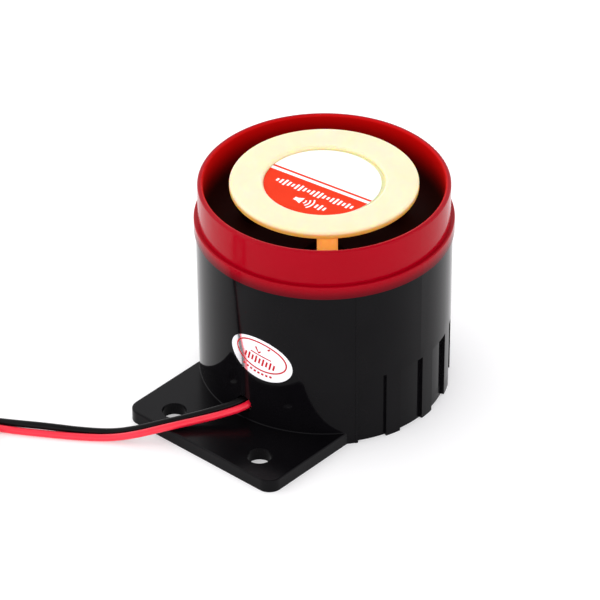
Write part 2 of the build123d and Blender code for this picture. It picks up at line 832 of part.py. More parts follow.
def solder_joints():
    """Stripped lead ends and the solder on the board."""
    joints = []
    x_middle, y, z = pair_middle(lead_stations[0])
    for side in (-1, 1):
        x = x_middle + side * lead_spacing / 2
        top = z + solder_rise
        wire = Pos(x, y + strip_length / 2, z) * Rot(90, 0, 0) * Cylinder(conductor_radius, strip_length)
        blob = Cone(solder_foot_radius, solder_tip_radius, top - board_top)
        joints.append(wire + Pos(x, y + strip_length, (board_top + top) / 2) * blob)
    return Compound(joints)


def lead_glue():
    """Bead of glue that holds the leads behind their hole."""
    middle = Pos(lead_exit_x, glue_length / 2 - body_bore_radius - blend, lead_exit_height)
    bead = middle * Rot(90, 0, 0) * Cylinder(lead_hole_radius + glue_margin, glue_length + 2 * blend)
    bead &= rod(body_bore_radius, 0, body_height)
    for side in (-1, 1):
        route = lead_route(lead_stations, side)
        path = FilletPolyline(*route, radius=corner_radii(route))
        bead -= sweep(Plane(path @ 0, z_dir=path % 0) * Circle(lead_diameter / 2), path=path)
    return bead


def driver_terminals():
    """Two tags on the driver's frame."""
    tags = []
    for angle in wire_angles:
        x, y = around(frame_outer_radius + terminal_thickness / 2, angle)
        depth = terminal_thickness + 2 * terminal_stand
        block = Rot(0, 0, angle - 90) * Box(depth, terminal_width, frame_thickness)
        tag = Pos(x, y, (frame_low + film_low) / 2) * block
        tags.append(tag - rod(frame_outer_radius, frame_low - cut_margin, film_low + cut_margin))
    return Compound(tags)


def driver_wires():
    """Two insulated wires from the board up to the driver's tags."""
    wires = []
    for number, angle in enumerate(wire_angles):
        low_x, low_y = around(wire_circle_radius, angle)
        end_x, end_y = around(frame_outer_radius + terminal_stand + terminal_thickness, angle)
        height = (frame_low + film_low) / 2
        path = FilletPolyline(
            (low_x, low_y, board_top), (low_x, low_y, height), (end_x, end_y, height),
            radius=wire_bend_radius,
        )
        wires.append(sweep(Plane(path @ 0, z_dir=path % 0) * Circle(wire_radius), path=path))
    return Compound(wires)


parts = [
    housing, horn, diffuser, disc_label, oval_label,
    diffuser_screws, driver_screws, board_screws,
    driver_frame, gasket, surround, diaphragm, voice_coil, top_plate, magnet, yoke,
    circuit_board, capacitor, boost_inductor, drive_transistor, tone_chip, resistors, solder_joints,
    driver_terminals, driver_wires, lead_glue, lead_red, lead_black, lead_coil, coil_tie, lead_tips,
]

os.makedirs("parts", exist_ok=True)
for make in parts:
    export_step(make(), f"parts/{make.__name__}.step")
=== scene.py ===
"""Looks of the alarm siren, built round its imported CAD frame.

Metres. The origin is on the drum's axis at its base, +Z is up and the foot points towards -Y.
"""
import json
from math import atan2, cos, degrees, hypot, pi, radians, sin

import bpy
from mathutils import Matrix, Vector


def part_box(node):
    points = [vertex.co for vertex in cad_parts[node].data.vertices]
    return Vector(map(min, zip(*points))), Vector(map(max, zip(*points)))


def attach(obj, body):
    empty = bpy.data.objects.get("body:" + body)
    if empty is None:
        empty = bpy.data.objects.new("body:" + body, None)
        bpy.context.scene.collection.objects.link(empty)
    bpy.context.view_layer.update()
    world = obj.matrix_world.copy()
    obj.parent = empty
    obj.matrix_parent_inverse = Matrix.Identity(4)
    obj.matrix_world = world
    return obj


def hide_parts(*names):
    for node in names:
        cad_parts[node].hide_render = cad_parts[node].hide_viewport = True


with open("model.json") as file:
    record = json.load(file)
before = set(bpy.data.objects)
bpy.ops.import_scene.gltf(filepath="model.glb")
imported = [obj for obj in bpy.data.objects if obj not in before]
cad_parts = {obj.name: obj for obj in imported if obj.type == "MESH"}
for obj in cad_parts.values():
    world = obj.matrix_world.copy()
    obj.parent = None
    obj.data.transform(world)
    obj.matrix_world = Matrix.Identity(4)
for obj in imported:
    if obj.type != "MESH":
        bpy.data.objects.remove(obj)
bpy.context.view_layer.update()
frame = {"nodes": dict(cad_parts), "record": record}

mm = 0.001

# ---- camera -------------------------------------------------------------------------------------
camera_turn = radians(41.62)         # the camera stands this far round from the foot's direction
camera_reach = 862.34 * mm           # from the drum's axis, measured along the floor
camera_height = 620.74 * mm
camera_yaw = radians(0.359)
camera_pitch = radians(34.897)
camera_roll = radians(-0.37)
sensor_width = 36.0
lens_over_frame = 7.94228            # focal length over the frame's width

# ---- light ---------------------------------------------------------------------------------------
side_light = 1.75
overhead_light = 0.35
side_end, overhead_start = 0.45, 0.95    # the sky fades between these upward shares of its direction
floor_half = 3.0
floor_drop = 0.02 * mm               # keeps the floor clear of the siren's underside
key_aim_height = 0.03
key_power = 4.6
key_place = (-0.38, 0.12, 0.9)       # across, away and up from the drum as the camera sees it
key_side = 1.3

# ---- painted shade and light that follow the shape ------------------------------------------------
# Painted shade: inside this distance from the axis, the horn's red is painted from a lighter red at the
# rim down to near black at this depth under the rim.
bowl_shade_reach = 26.6 * mm
bowl_shade_fade = 0.4 * mm
bowl_shade_depth = 9 * mm
bowl_deep_painted_shade = (0.012, 0.0002, 0.0003, 1.0)
bowl_rim_painted_light = (0.52, 0.0005, 0.0008, 1.0)
bowl_roughness = 0.6
# Painted shade: between these depths under the rim's top, the flange goes from a painted dark shade at its
# bottom to the plain red.
flange_low = 11.7 * mm
flange_high = 8.4 * mm
flange_painted_shade = (0.10, 0.0, 0.004, 1.0)
# Painted light: the cream plastic turns to a painted orange edge light, and to a painted glow, between
# these depths under its top. Inside the lip's reach, at the label's recess, the edge has a paler painted
# shade and no glow.
cream_edge_depths = (1.1 * mm, 0.15 * mm)
cream_edge_painted_light = (0.95, 0.50, 0.09, 1.0)
cream_painted_glow_depths = (3 * mm, 0.6 * mm)
cream_painted_glow_colour = (1.0, 0.33, 0.07, 1.0)
cream_lip_reach = 14.2 * mm
cream_lip_fade = 1.0 * mm
cream_lip_painted_shade = (0.95, 0.76, 0.36, 1.0)
foot_top = 3.0 * mm
foot_fade = (0.1 * mm, 0.4 * mm)
foot_roughness = 0.22
black = (0.0, 0.0, 0.0, 1.0)

# ---- leads --------------------------------------------------------------------------------------
lead_diameter = 1.6 * mm
lead_spacing = 1.7 * mm
# Stations of the pair in millimetres and degrees: x and distance out from the drum's face of its
# middle, height of its underside, then plan angle and dip of the line from black to red.
lead_stations = [
    (0.9, -9.5, 6.55, 0, 0),
    (1.0, -4.8, 6.28, 0, 8),
    (1.3, -0.2, 5.69, -8, 18),
    (-2.0, 4.5, 4.52, -30, 12),
    (-5.6, 9.3, 3.69, -33, 4),
    (-9.0, 14.4, 3.21, -35, 3),
    (-12.9, 18.8, 1.88, -47, 8),
    (-18.0, 22.0, 0.12, -56, 12),
    (-23.7, 26.2, -0.02, -58, 22),
    (-29.6, 30.2, 0.02, -58, 45),
    (-35.8, 33.9, 0.01, -59, 35),
    (-42.3, 37.0, 0.02, -62, 12),
    (-48.7, 40.2, 0.37, -63, 0),
]
tail_stations = [
    (-51.2, 42.1, 2.0, 137, 0),
    (-53.6, 44.8, 1.6, 140, 0),
    (-55.9, 47.5, 0.7, 146, 0),
    (-57.7, 50.8, 0.04, 152, 0),
]
coil_centre = Vector((-44.6, -76.4)) * mm
drum_radius = 28.1
coil_inner_line = 8.22 * mm
coil_outer_line = 9.92 * mm
coil_floor_line = 1.17 * mm
coil_upper_line = 2.84 * mm
# Angles round the coil, in degrees. The two leads change places after the first turn and climb onto it.
coil_start = 117
coil_end = 137 + 720
coil_step = 15
coil_swap_start = 385
coil_swap_span = 60
red_rise_start = 372
black_rise_start = 402
coil_rise_span = 48
coil_pull_in = 0.9914                # the curve runs inside its points by this share

# ---- top label: places across (u) and up (v) the label, in millimetres ---------------------------
label_turn = radians(7.1)
label_print_lift = 0.012 * mm
rule_low, rule_high = -0.4, 0.22
field_top = -1.36
level_bars = [1.0, 1.5, 2.2, 1.6, 1.1, 1.9, 2.2, 1.4, 1.0, 1.7]
level_bars += [2.2, 2.2, 1.3, 1.0, 1.6, 2.2, 1.8, 1.2, 1.9, 1.1]
level_pitch = 1.02
level_start = -8.7
level_middle = -4.45
side_bars = [1.4, 2.0, 1.2]
side_start = 4.15
side_middle = -8.35
bar_width = 0.52
speaker_place = (0.3, -8.35)
speaker_half = [(-1.9, 0.55), (-1.1, 0.55), (0.1, 1.15)]
wave_reaches = (1.0, 1.9, 2.8)
wave_half_angle = 38
wave_width = 0.36
wave_steps = 10
circle_steps = 96
columns = 80                         # steps along a straight edge of the print
paper_eye = 0.05                     # radius left open in the middle of the paper
ink_inset = 0.03                     # inside the paper's edge

# ---- oval label: places across (a) and up (b) the label, in millimetres ---------------------------
oval_half_length = 7.8
oval_half_height = 5.2
oval_tilt = radians(-14.0)
oval_print_lift = 0.012 * mm
oval_rings = 14                      # rings of points from the middle to the edge
drum_draft = 0.25 / 39.1             # outward lean of the drum's side
ring_shares = (0.8, 0.68)            # of the foil's half length and half height
ring_rise = 0.75
ring_width = 0.34
tick = [(-1.7, 2.7), (-0.7, 1.5), (1.7, 3.7)]
tick_width = 0.42
rule_half = 2.6
rule_rise = 0.95
rule_width = 0.26
rule_steps = 10
bar_count = 9
bar_heights = (1.4, 1.9)
bar_start = -3.6
bar_pitch = 0.9
bar_middle = -0.55
oval_bar_width = 0.44
dash_count = 8
dash_start = -3.4
dash_pitch = 0.98
dash_low = -3.72
dash_bend = 0.035
dash_half = 0.28
dash_width = 0.5


# ---- materials ------------------------------------------------------------------------------------
noise_low, noise_high = 0.3, 0.7     # the noise hardly leaves this range
wear_share = 0.6                     # patches of wear are coarser than the mottling


def linear(colour):
    """Scene-linear colour of a display colour given in 0 to 255; four parts are already linear."""
    if len(colour) == 4:
        return colour
    parts = []
    for value in colour:
        share = value / 255
        parts.append(share / 12.92 if share <= 0.04045 else ((share + 0.055) / 1.055) ** 2.4)
    return (*parts, 1.0)


def finish_of(name, colour, other, rough, grain, bump, **sockets):
    """Principled material in object coordinates.

    colour and other are the two ends of its mottling, whose size is grain; rough is the lowest and
    highest roughness; bump is the size and height of its fine relief. Sizes are in metres, and any
    other socket of the shader is set by its name.
    """
    material = bpy.data.materials.new(name)
    material.use_nodes = True
    nodes, links = material.node_tree.nodes, material.node_tree.links
    shader = nodes["Principled BSDF"]
    place = nodes.new("ShaderNodeTexCoord")

    patches = nodes.new("ShaderNodeTexNoise")
    patches.inputs["Scale"].default_value = 1 / grain
    patches.inputs["Detail"].default_value = 4
    links.new(place.outputs["Object"], patches.inputs["Vector"])
    tint = nodes.new("ShaderNodeValToRGB")
    tint.color_ramp.elements[0].position = noise_low
    tint.color_ramp.elements[1].position = noise_high
    tint.color_ramp.elements[0].color = linear(colour)
    tint.color_ramp.elements[1].color = linear(other)
    links.new(patches.outputs["Fac"], tint.inputs["Fac"])
    links.new(tint.outputs["Color"], shader.inputs["Base Color"])

    wear = nodes.new("ShaderNodeTexNoise")
    wear.inputs["Scale"].default_value = wear_share / grain
    wear.inputs["Detail"].default_value = 6
    wear.inputs["Distortion"].default_value = 0.6
    links.new(place.outputs["Object"], wear.inputs["Vector"])
    polish = nodes.new("ShaderNodeMapRange")
    polish.inputs["From Min"].default_value = noise_low
    polish.inputs["From Max"].default_value = noise_high
    polish.inputs["To Min"].default_value = rough[0]
    polish.inputs["To Max"].default_value = rough[1]
    links.new(wear.outputs["Fac"], polish.inputs["Value"])
    links.new(polish.outputs["Result"], shader.inputs["Roughness"])

    relief = nodes.new("ShaderNodeTexNoise")
    relief.inputs["Scale"].default_value = 1 / bump[0]
    relief.inputs["Detail"].default_value = 3
    links.new(place.outputs["Object"], relief.inputs["Vector"])
    raised = nodes.new("ShaderNodeBump")
    raised.inputs["Strength"].default_value = 1.0
    raised.inputs["Distance"].default_value = bump[1]
    links.new(relief.outputs["Fac"], raised.inputs["Height"])
    links.new(raised.outputs["Normal"], shader.inputs["Normal"])

    for socket, value in sockets.items():
        shader.inputs[socket.replace("_", " ")].default_value = value
    return material


black_plastic = finish_of(
    "black_plastic", (7, 6, 8), (11, 10, 12), (0.05, 0.09), 12 * mm, (9 * mm, 0.012 * mm), IOR=1.175)
red_plastic = finish_of(
    "red_plastic", (153, 0, 19), (158, 0, 22), (0.12, 0.18), 12 * mm, (7 * mm, 0.01 * mm), IOR=1.17)
# Its emission is a painted glow; its colour is set below with the painted edge light.
cream_plastic = finish_of(
    "cream_plastic", (246, 222, 190), (245, 219, 184), (0.32, 0.4), 8 * mm, (3 * mm, 0.008 * mm),
    Subsurface_Weight=1.0, Subsurface_Radius=(1.0, 0.4, 0.12), Subsurface_Scale=2.5 * mm, IOR=1.3,
    Emission_Strength=0.55)
label_paper = finish_of(
    "label_paper", (250, 250, 250), (247, 247, 247), (0.25, 0.32), 5 * mm, (0.6 * mm, 0.003 * mm))
label_ink = finish_of(
    "label_ink", (226, 56, 24), (222, 52, 21), (0.25, 0.35), 5 * mm, (0.6 * mm, 0.003 * mm), IOR=1.1)
foil = finish_of(
    "foil", (250, 249, 252), (246, 245, 250), (0.03, 0.06), 3 * mm, (4 * mm, 0.006 * mm), Metallic=0.85)
foil_ink = finish_of(
    "foil_ink", (196, 26, 34), (184, 20, 28), (0.2, 0.3), 1 * mm, (0.6 * mm, 0.002 * mm), IOR=1.2)
red_sleeve = finish_of(
    "red_sleeve", (238, 28, 58), (232, 22, 50), (0.28, 0.36), 3 * mm, (0.8 * mm, 0.004 * mm))
black_sleeve = finish_of(
    "black_sleeve", (8, 6, 7), (12, 10, 11), (0.28, 0.36), 3 * mm, (0.8 * mm, 0.004 * mm), IOR=1.2)
screw_steel = finish_of(
    "screw_steel", (188, 186, 176), (160, 158, 150), (0.2, 0.35), 1 * mm, (0.4 * mm, 0.004 * mm),
    Metallic=1.0)
frame_plastic = finish_of(
    "frame_plastic", (30, 30, 32), (40, 40, 42), (0.4, 0.5), 4 * mm, (0.5 * mm, 0.01 * mm))
foam_rubber = finish_of(
    "foam_rubber", (38, 38, 40), (52, 52, 54), (0.8, 0.9), 1 * mm, (0.3 * mm, 0.06 * mm))
film = finish_of(
    "film", (196, 190, 168), (180, 174, 150), (0.2, 0.3), 3 * mm, (1 * mm, 0.01 * mm))
copper_winding = finish_of(
    "copper_winding", (190, 98, 60), (150, 70, 40), (0.25, 0.35), 1 * mm, (0.15 * mm, 0.02 * mm),
    Metallic=1.0)
plated_steel = finish_of(
    "plated_steel", (200, 200, 196), (180, 182, 180), (0.25, 0.4), 3 * mm, (0.6 * mm, 0.004 * mm),
    Metallic=1.0)
ferrite = finish_of(
    "ferrite", (44, 44, 46), (58, 57, 58), (0.6, 0.75), 2 * mm, (0.3 * mm, 0.02 * mm))
board_laminate = finish_of(
    "board_laminate", (176, 140, 72), (160, 124, 60), (0.4, 0.5), 2 * mm, (0.4 * mm, 0.008 * mm))
capacitor_sleeve = finish_of(
    "capacitor_sleeve", (22, 34, 70), (28, 40, 80), (0.2, 0.3), 3 * mm, (1 * mm, 0.006 * mm))
inductor_core = finish_of(
    "inductor_core", (52, 48, 46), (70, 62, 56), (0.5, 0.65), 1.5 * mm, (0.3 * mm, 0.02 * mm))
chip_epoxy = finish_of(
    "chip_epoxy", (30, 30, 31), (38, 38, 39), (0.55, 0.65), 1 * mm, (0.15 * mm, 0.006 * mm))
resistor_body = finish_of(
    "resistor_body", (206, 178, 130), (190, 160, 112), (0.35, 0.45), 1 * mm, (0.3 * mm, 0.01 * mm))
solder = finish_of(
    "solder", (196, 198, 200), (170, 172, 176), (0.2, 0.35), 1 * mm, (0.4 * mm, 0.02 * mm),
    Metallic=1.0)
terminal_brass = finish_of(
    "terminal_brass", (206, 176, 98), (186, 152, 80), (0.25, 0.35), 1 * mm, (0.4 * mm, 0.006 * mm),
    Metallic=1.0)
wire_sleeve = finish_of(
    "wire_sleeve", (206, 150, 24), (190, 136, 20), (0.3, 0.4), 1 * mm, (0.5 * mm, 0.004 * mm))
hot_glue = finish_of(
    "hot_glue", (226, 220, 196), (214, 206, 180), (0.25, 0.35), 1 * mm, (0.8 * mm, 0.04 * mm))
tie_plastic = finish_of(
    "tie_plastic", (28, 28, 30), (36, 36, 38), (0.35, 0.45), 1 * mm, (0.5 * mm, 0.01 * mm))
floor_paint = finish_of(
    "floor_paint", (0.75, 0.75, 0.75, 1), (0.745, 0.745, 0.745, 1), (0.6, 0.7), 0.3, (0.05, 0.0), IOR=1.3,
    Emission_Color=(1, 0.99, 1, 1), Emission_Strength=0.3)

by_slot = {
    "black_plastic": black_plastic, "red_plastic": red_plastic, "cream_plastic": cream_plastic,
    "printed_label": label_paper, "foil_label": foil, "screw_steel": screw_steel,
    "frame_plastic": frame_plastic, "foam_rubber": foam_rubber, "film": film,
    "copper_winding": copper_winding, "plated_steel": plated_steel, "ferrite": ferrite,
    "board_laminate": board_laminate, "capacitor_sleeve": capacitor_sleeve,
    "inductor_core": inductor_core, "chip_epoxy": chip_epoxy, "resistor_body": resistor_body,
    "solder": solder, "terminal_brass": terminal_brass, "wire_sleeve": wire_sleeve,
    "hot_glue": hot_glue, "red_sleeve": red_sleeve, "black_sleeve": black_sleeve,
    "tie_plastic": tie_plastic,
}


def node_of(material, kind, **values):
    """Node of a kind in a material, its inputs set by name."""
    node = material.node_tree.nodes.new(kind)
    for name, value in values.items():
        node.inputs[name.replace("_", " ")].default_value = value
    return node


def height_share(material, low, high):
    """Socket that goes from 0 to 1 between two heights."""
    links = material.node_tree.links
    place = node_of(material, "ShaderNodeTexCoord")
    parts = node_of(material, "ShaderNodeSeparateXYZ")
    share = node_of(material, "ShaderNodeMapRange", From_Min=low, From_Max=high)
    share.interpolation_type = "SMOOTHSTEP"
    links.new(place.outputs["Object"], parts.inputs["Vector"])
    links.new(parts.outputs["Z"], share.inputs["Value"])
    return share.outputs["Result"]


def reach_share(material, near, far):
    """Socket that goes from 0 to 1 between two distances from the drum's axis."""
    links = material.node_tree.links
    place = node_of(material, "ShaderNodeTexCoord")
    flat = node_of(material, "ShaderNodeVectorMath")
    flat.operation = "MULTIPLY"
    flat.inputs[1].default_value = (1, 1, 0)
    reach = node_of(material, "ShaderNodeVectorMath")
    reach.operation = "LENGTH"
    share = node_of(material, "ShaderNodeMapRange", From_Min=near, From_Max=far)
    links.new(place.outputs["Object"], flat.inputs[0])
    links.new(flat.outputs["Vector"], reach.inputs[0])
    links.new(reach.outputs["Value"], share.inputs["Value"])
    return share.outputs["Result"]


def blended(material, factor, first, second):
    """Colour socket between two colours, either of them a socket or a fixed colour."""
    mix = material.node_tree.nodes.new("ShaderNodeMix")
    mix.data_type = "RGBA"
    links = material.node_tree.links
    links.new(factor, mix.inputs[0])
    for number, colour in ((6, first), (7, second)):
        if isinstance(colour, tuple):
            mix.inputs[number].default_value = colour
        else:
            links.new(colour, mix.inputs[number])
    return mix.outputs[2]


def rougher(material, factor, other):
    """Where the factor is 0 the roughness is another value."""
    shader = material.node_tree.nodes["Principled BSDF"]
    kept = shader.inputs["Roughness"].links[0].from_socket
    mix = material.node_tree.nodes.new("ShaderNodeMix")
    material.node_tree.links.new(factor, mix.inputs[0])
    mix.inputs[2].default_value = other
    material.node_tree.links.new(kept, mix.inputs[3])
    material.node_tree.links.new(mix.outputs[0], shader.inputs["Roughness"])


def shade_bowl():
    """Painted shade: the red plastic is painted darker down the inside of the horn, where little light
    comes back out, and the flange is painted darker towards its bottom.
    """
    shader = red_plastic.node_tree.nodes["Principled BSDF"]
    tint = shader.inputs["Base Color"].links[0].from_socket
    rim_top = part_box("horn")[1].z
    outside = reach_share(red_plastic, bowl_shade_reach, bowl_shade_reach + bowl_shade_fade)
    depth = height_share(red_plastic, rim_top - bowl_shade_depth, rim_top)
    # painted shade: the horn's inside runs from a lighter red at the rim to near black deep down
    inside = blended(red_plastic, depth, bowl_deep_painted_shade, bowl_rim_painted_light)
    # painted shade: the flange darkens towards its bottom, where it meets the drum
    flange = height_share(red_plastic, rim_top - flange_low, rim_top - flange_high)
    outer = blended(red_plastic, flange, flange_painted_shade, tint)
    shown = blended(red_plastic, outside, inside, outer)
    red_plastic.node_tree.links.new(shown, shader.inputs["Base Color"])
    rougher(red_plastic, outside, bowl_roughness)


def paint_cream_light():
    """Painted light: below its top the cream plastic is painted orange and given a painted glow, standing
    in for light come through it and bounced off the red horn; the recess edge gets a painted shade.
    """
    shader = cream_plastic.node_tree.nodes["Principled BSDF"]
    tint = shader.inputs["Base Color"].links[0].from_socket
    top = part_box("diffuser")[1].z
    upper = height_share(cream_plastic, top - cream_edge_depths[0], top - cream_edge_depths[1])
    lower = height_share(cream_plastic, top - cream_painted_glow_depths[0], top - cream_painted_glow_depths[1])
    outside = reach_share(cream_plastic, cream_lip_reach, cream_lip_reach + cream_lip_fade)
    # painted shade at the recess edge, painted orange light on the outer sides
    edge = blended(cream_plastic, outside, cream_lip_painted_shade, cream_edge_painted_light)
    shown = blended(cream_plastic, upper, edge, tint)
    # painted glow below the top, none at the recess
    painted_glow_below = blended(cream_plastic, lower, cream_painted_glow_colour, black)
    glow = blended(cream_plastic, outside, black, painted_glow_below)
    cream_plastic.node_tree.links.new(shown, shader.inputs["Base Color"])
    cream_plastic.node_tree.links.new(glow, shader.inputs["Emission Color"])


def dull_foot():
    """The foot's top is less glossy than the drum."""
    above = height_share(black_plastic, foot_top + foot_fade[0], foot_top + foot_fade[1])
    rougher(black_plastic, above, foot_roughness)


def dress_cad_nodes():
    """Every CAD node takes the material of its slot."""
    for entry in frame["record"]["subparts"]:
        mesh = frame["nodes"][entry["node"]].data
        mesh.materials.clear()
        mesh.materials.append(by_slot[entry["material_slot"]])


# ---- mesh building ----------------------------------------------------------------------------------
class Build:
    """Collects closed shells, each with a material number, for one mesh."""

    def __init__(self, place):
        self.place = place
        self.points = []
        self.faces = []
        self.numbers = []

    def band(self, left, right, low, high, number, closed=False):
        """Thin solid between two lines of points, from one lift to another."""
        start = len(self.points)
        for a, b in zip(left, right):
            for u, v, lift in ((*a, low), (*a, high), (*b, high), (*b, low)):
                self.points.append(self.place(u, v, lift))
        count = len(left)
        steps = count if closed else count - 1
        for step in range(steps):
            here = start + 4 * step
            there = start + 4 * ((step + 1) % count)
            for side in range(4):
                other = (side + 1) % 4
                self.faces.append((here + side, there + side, there + other, here + other))
                self.numbers.append(number)
        if not closed:
            last = start + 4 * (count - 1)
            self.faces.append((start + 3, start + 2, start + 1, start))
            self.faces.append((last, last + 1, last + 2, last + 3))
            self.numbers += [number, number]

    def stroke(self, line, width, low, high, number, closed=False):
        """Thin solid of even width along a line of points."""
        left, right = [], []
        count = len(line)
        for index, (u, v) in enumerate(line):
            before = line[(index - 1) % count] if closed or index else line[0]
            after = line[(index + 1) % count] if closed or index < count - 1 else line[-1]
            du, dv = after[0] - before[0], after[1] - before[1]
            size = hypot(du, dv)
            across = (-dv / size * width / 2, du / size * width / 2)
            left.append((u + across[0], v + across[1]))
            right.append((u - across[0], v - across[1]))
        self.band(left, right, low, high, number, closed)

    def lathe(self, rings, number):
        """Closed skin over rings of points, given from one end to the other as (points, lift)."""
        start = len(self.points)
        count = len(rings[0][0])
        for points, lift in rings:
            self.points += [self.place(u, v, lift) for u, v in points]
        for ring in range(len(rings) - 1):
            for step in range(count):
                here = start + ring * count + step
                there = start + ring * count + (step + 1) % count
                self.faces.append((here, there, there + count, here + count))
                self.numbers.append(number)
        for ring in (0, len(rings) - 1):
            self.faces.append(tuple(start + ring * count + step for step in range(count)))
            self.numbers.append(number)

    def make(self, name, materials):
        """The object, in the frame's coordinates, smooth but for its sharp edges."""
        mesh = bpy.data.meshes.new(name)
        mesh.from_pydata(self.points, [], self.faces)
        for material in materials:
            mesh.materials.append(material)
        for polygon, number in zip(mesh.polygons, self.numbers):
            polygon.material_index = number
            polygon.use_smooth = True
        mesh.validate()
        mesh.set_sharp_from_angle(angle=radians(30))
        item = bpy.data.objects.new(name, mesh)
        bpy.context.scene.collection.objects.link(item)
        return item


def arc(centre, radius, start, end, steps):
    """Points on an arc, angles in degrees."""
    points = []
    for step in range(steps + 1):
        angle = radians(start + (end - start) * step / steps)
        points.append((centre[0] + radius * cos(angle), centre[1] + radius * sin(angle)))
    return points


# ---- camera, light and floor ------------------------------------------------------------------------
def from_camera(right, away, up):
    """Point given as seen from the camera's side of the drum."""
    return Matrix.Rotation(camera_turn, 4, "Z") @ Vector((right, away, up))


def add_camera():
    """Camera at the view's angle."""
    data = bpy.data.cameras.new("camera")
    data.sensor_width = sensor_width
    data.lens = lens_over_frame * sensor_width
    data.clip_start = 0.05
    data.clip_end = 20
    camera = bpy.data.objects.new("camera", data)
    turn = Matrix.Rotation(camera_turn + camera_yaw, 4, "Z")
    tilt = Matrix.Rotation(pi / 2 - camera_pitch, 4, "X")
    roll = Matrix.Rotation(camera_roll, 4, "Z")
    stand = Matrix.Translation(from_camera(0, -camera_reach, camera_height))
    camera.matrix_world = stand @ turn @ tilt @ roll
    bpy.context.scene.collection.objects.link(camera)
    bpy.context.scene.camera = camera


def add_softbox(name, place, target, size, power, colour):
    """Rectangular soft light at a place, aimed at a target."""
    data = bpy.data.lights.new(name, "AREA")
    data.shape = "RECTANGLE"
    data.size, data.size_y = size
    data.energy = power
    data.color = colour
    light = bpy.data.objects.new(name, data)
    aim = (target - place).to_track_quat("-Z", "Y")
    light.matrix_world = Matrix.Translation(place) @ aim.to_matrix().to_4x4()
    bpy.context.scene.collection.objects.link(light)


def add_stage():
    """Pale floor, pale surroundings and soft lights."""
    half, drop = floor_half, -floor_drop
    mesh = bpy.data.meshes.new("floor")
    corners = [(-half, -half, drop), (half, -half, drop), (half, half, drop), (-half, half, drop)]
    mesh.from_pydata(corners, [], [(0, 1, 2, 3)])
    mesh.materials.append(floor_paint)
    floor = bpy.data.objects.new("floor", mesh)
    bpy.context.scene.collection.objects.link(floor)

    world = bpy.data.worlds.new("surroundings")
    world.use_nodes = True
    nodes, links = world.node_tree.nodes, world.node_tree.links
    sky = nodes["Background"]
    sky.inputs["Color"].default_value = (0.985, 0.98, 1.0, 1)
    direction = nodes.new("ShaderNodeTexCoord")
    height = nodes.new("ShaderNodeSeparateXYZ")
    fade = nodes.new("ShaderNodeMapRange")
    fade.interpolation_type = "SMOOTHSTEP"
    fade.inputs["From Min"].default_value = side_end
    fade.inputs["From Max"].default_value = overhead_start
    fade.inputs["To Min"].default_value = side_light
    fade.inputs["To Max"].default_value = overhead_light
    links.new(direction.outputs["Generated"], height.inputs["Vector"])
    links.new(height.outputs["Z"], fade.inputs["Value"])
    links.new(fade.outputs["Result"], sky.inputs["Strength"])
    bpy.context.scene.world = world
    middle = Vector((0, 0, key_aim_height))
    add_softbox("key", from_camera(*key_place), middle, (key_side, key_side), key_power, (1, 0.99, 0.97))
    bpy.context.scene.view_settings.view_transform = "Standard"
    bpy.context.scene.view_settings.look = "None"


# ---- leads --------------------------------------------------------------------------------------------
def lead_points(side):
    """Route of one lead of the pair; side is -1 for black and 1 for red."""
    points = [beside(station, side) for station in lead_stations]
    count = int((coil_end - coil_start) / coil_step)
    for step in range(1, count):
        turn = coil_start + step * coil_step
        change = min(1.0, max(0.0, (turn - coil_swap_start) / coil_swap_span))
        rise_start = red_rise_start if side > 0 else black_rise_start
        rise = min(1.0, max(0.0, (turn - rise_start) / coil_rise_span))
        first = coil_inner_line if side > 0 else coil_outer_line
        second = coil_outer_line if side > 0 else coil_inner_line
        radius = (first + (second - first) * change) / coil_pull_in
        height = coil_floor_line + (coil_upper_line - coil_floor_line) * rise
        angle = radians(turn)
        x = coil_centre.x + radius * cos(angle)
        y = coil_centre.y + radius * sin(angle)
        points.append(Vector((x, y, height)))
    points += [beside(station, side) for station in tail_stations]
    return points


def beside(station, side):
    """Centre of one lead at a station of the pair."""
    x, out, lift, plan, dip = station
    reach = side * lead_spacing / 2
    plan, dip = radians(plan), radians(dip)
    offset = Vector((cos(dip) * cos(plan), cos(dip) * sin(plan), -sin(dip)))
    rise = lead_diameter / 2 + lead_spacing / 2 * sin(dip)
    return Vector((x, -drum_radius - out, lift)) * mm + Vector((0, 0, rise)) + reach * offset


def add_lead(name, side, material, node):
    """One lead as a NURBS curve with a round section."""
    data = bpy.data.curves.new(name, "CURVE")
    data.dimensions = "3D"
    data.bevel_depth = lead_diameter / 2
    data.bevel_resolution = 6
    data.resolution_u = 8
    data.use_fill_caps = True
    points = lead_points(side)
    line = data.splines.new("NURBS")
    line.points.add(len(points) - 1)
    for spot, point in zip(line.points, points):
        spot.co = (*point, 1)
    line.order_u = 3
    line.use_endpoint_u = True
    data.materials.append(material)
    lead = bpy.data.objects.new(name, data)
    bpy.context.scene.collection.objects.link(lead)
    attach(lead, "casing")
    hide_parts(node, "lead_coil")
    return lead


def add_leads():
    """The red and black leads."""
    red = add_lead("lead_red_sleeve", 1, red_sleeve, "lead_red")
    black = add_lead("lead_black_sleeve", -1, black_sleeve, "lead_black")


# ---- top label ------------------------------------------------------------------------------------------
def bar_row(build, heights, start, pitch, middle, width, low, high, number):
    """Row of upright bars of given heights, centred on one level."""
    for index, height in enumerate(heights):
        u = start + pitch * index
        bar = [(u, middle - height / 2), (u, middle + height / 2)]
        build.stroke(bar, width, low, high, number)


